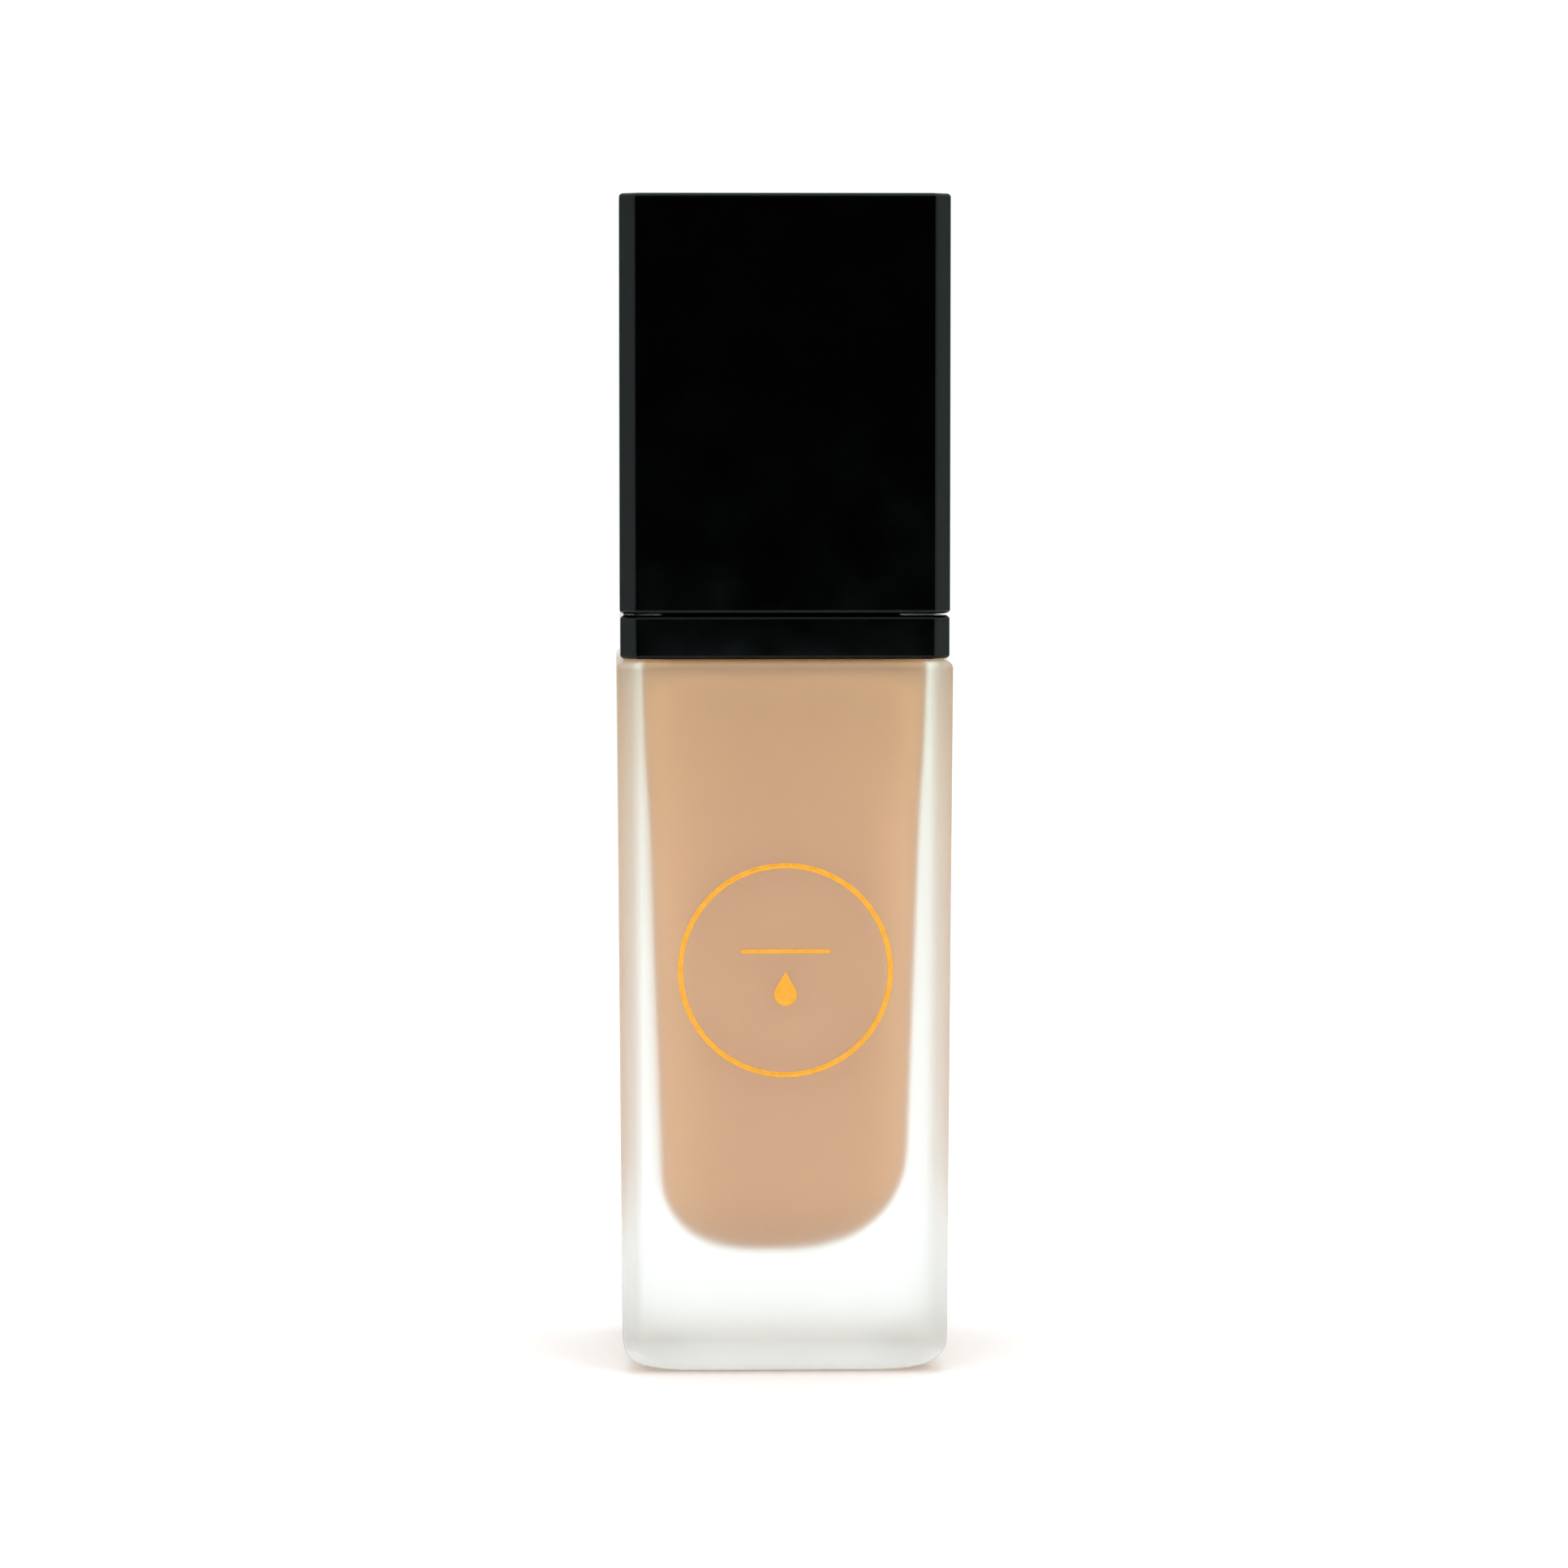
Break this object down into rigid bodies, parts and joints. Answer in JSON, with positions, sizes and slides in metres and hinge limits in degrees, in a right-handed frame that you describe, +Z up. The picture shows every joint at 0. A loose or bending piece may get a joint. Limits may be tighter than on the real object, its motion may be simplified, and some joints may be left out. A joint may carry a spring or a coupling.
{
  "type": "foundation bottle",
  "caption": "Square frosted glass foundation bottle with a snap-fit treatment pump, a black square collar and a tall black lift-off cap.",
  "frame": {"origin": "centre of the flat base that the bottle stands on", "axes": "+Z up along the bottle, -Y towards the printed front face, +X to the right seen from the front"},
  "size_m": [0.0334, 0.0334, 0.1175],
  "materials": {
    "frosted_glass": "matte",
    "foundation": "satin",
    "gold_print": "satin",
    "black_gloss": "gloss",
    "white_plastic": "satin",
    "clear_plastic": "satin",
    "grey_plastic": "satin",
    "soft_seal": "matte",
    "stainless_steel": "satin"
  },
  "bodies": {
    "bottle": {"glass_bottle": "frosted_glass", "foundation_fluid": "foundation", "front_print": "gold_print", "neck_gasket": "soft_seal", "snap_ring": "white_plastic", "square_collar": "black_gloss", "pump_housing": "white_plastic", "dip_tube": "clear_plastic", "ball_retainer": "white_plastic", "turret": "white_plastic", "return_spring": "stainless_steel"},
    "inlet_ball": {"check_ball": "stainless_steel"},
    "stem": {"pump_stem": "white_plastic", "piston_rod": "white_plastic"},
    "piston": {"piston_seal": "soft_seal"},
    "button": {"actuator_shell": "black_gloss", "actuator_core": "grey_plastic", "nozzle_insert": "grey_plastic"},
    "overcap": {"overcap_shell": "black_gloss", "overcap_liner": "white_plastic"}
  },
  "joints": [
    {"name": "overcap_lift", "type": "slide", "parent": "bottle", "child": "overcap", "axis": [0, 0, 1], "range_m": [0, 0.045]},
    {"name": "button_press", "type": "slide", "parent": "bottle", "child": "stem", "axis": [0, 0, -1], "range_m": [0, 0.004], "stiffness_N_per_m": 1000, "springref_m": -0.003, "deforming": ["return_spring"]},
    {"name": "button_swivel", "type": "hinge", "parent": "stem", "child": "button", "pos_m": [0, 0, 0.096], "axis": [0, 0, 1], "continuous": true},
    {"name": "piston_slip", "type": "slide", "parent": "stem", "child": "piston", "axis": [0, 0, 1], "range_m": [0, 0.0005]},
    {"name": "ball_lift", "type": "slide", "parent": "bottle", "child": "inlet_ball", "axis": [0, 0, 1], "range_m": [0, 0.001]}
  ]
}
